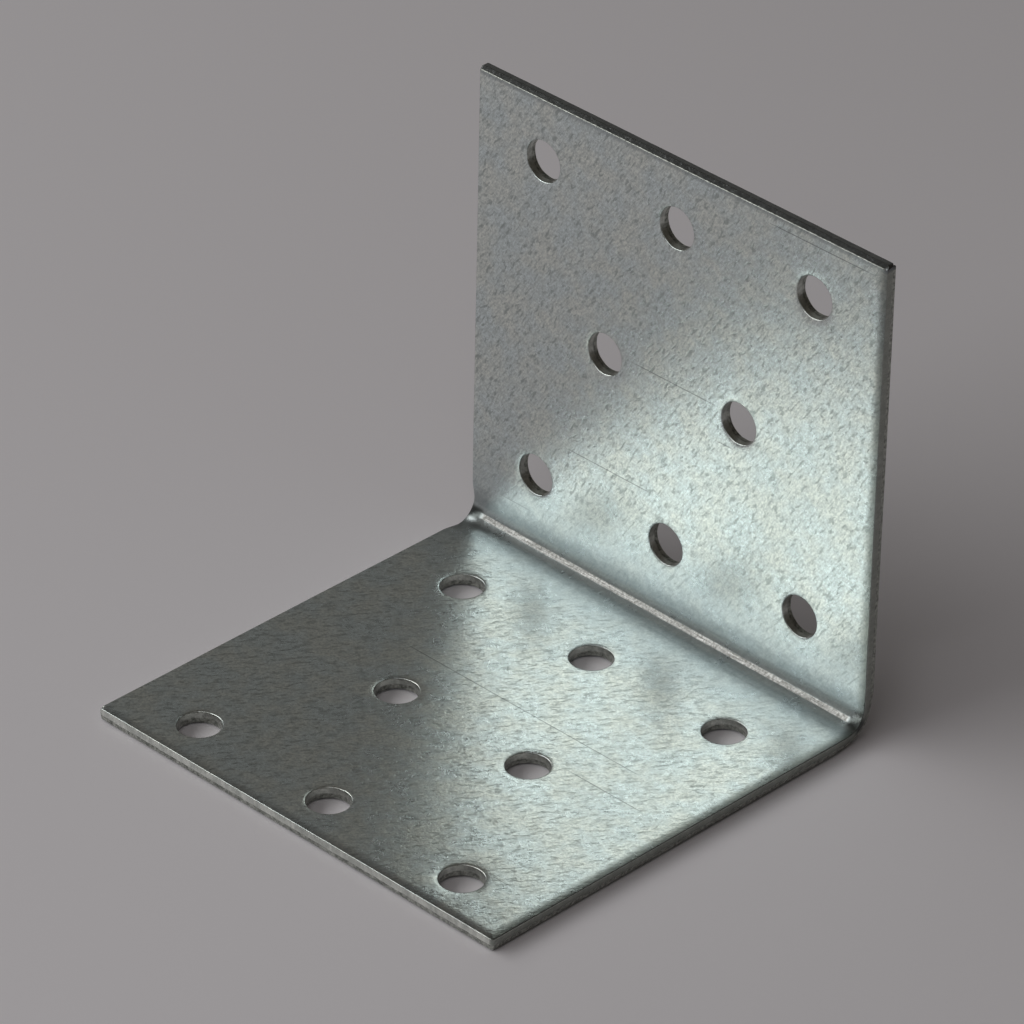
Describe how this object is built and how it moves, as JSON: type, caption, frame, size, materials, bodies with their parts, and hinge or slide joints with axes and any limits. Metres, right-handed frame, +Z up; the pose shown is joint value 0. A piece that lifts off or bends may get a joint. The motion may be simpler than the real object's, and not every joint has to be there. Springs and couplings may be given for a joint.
{
  "type": "corner brace bracket",
  "caption": "Square folded sheet-steel angle bracket with staggered screw holes in both legs, for joining timber at a right angle.",
  "frame": {"origin": "middle of the bounding box's footprint, on the underside of the base leg", "axes": "+X along the fold, -Y out along the base leg to its free end, +Y out of the back of the upright leg, +Z up the upright leg"},
  "size_m": [0.06, 0.0582, 0.059],
  "materials": {
    "galvanised_steel": "satin"
  },
  "bodies": {
    "root": {"bracket": "galvanised_steel"}
  },
  "joints": []
}
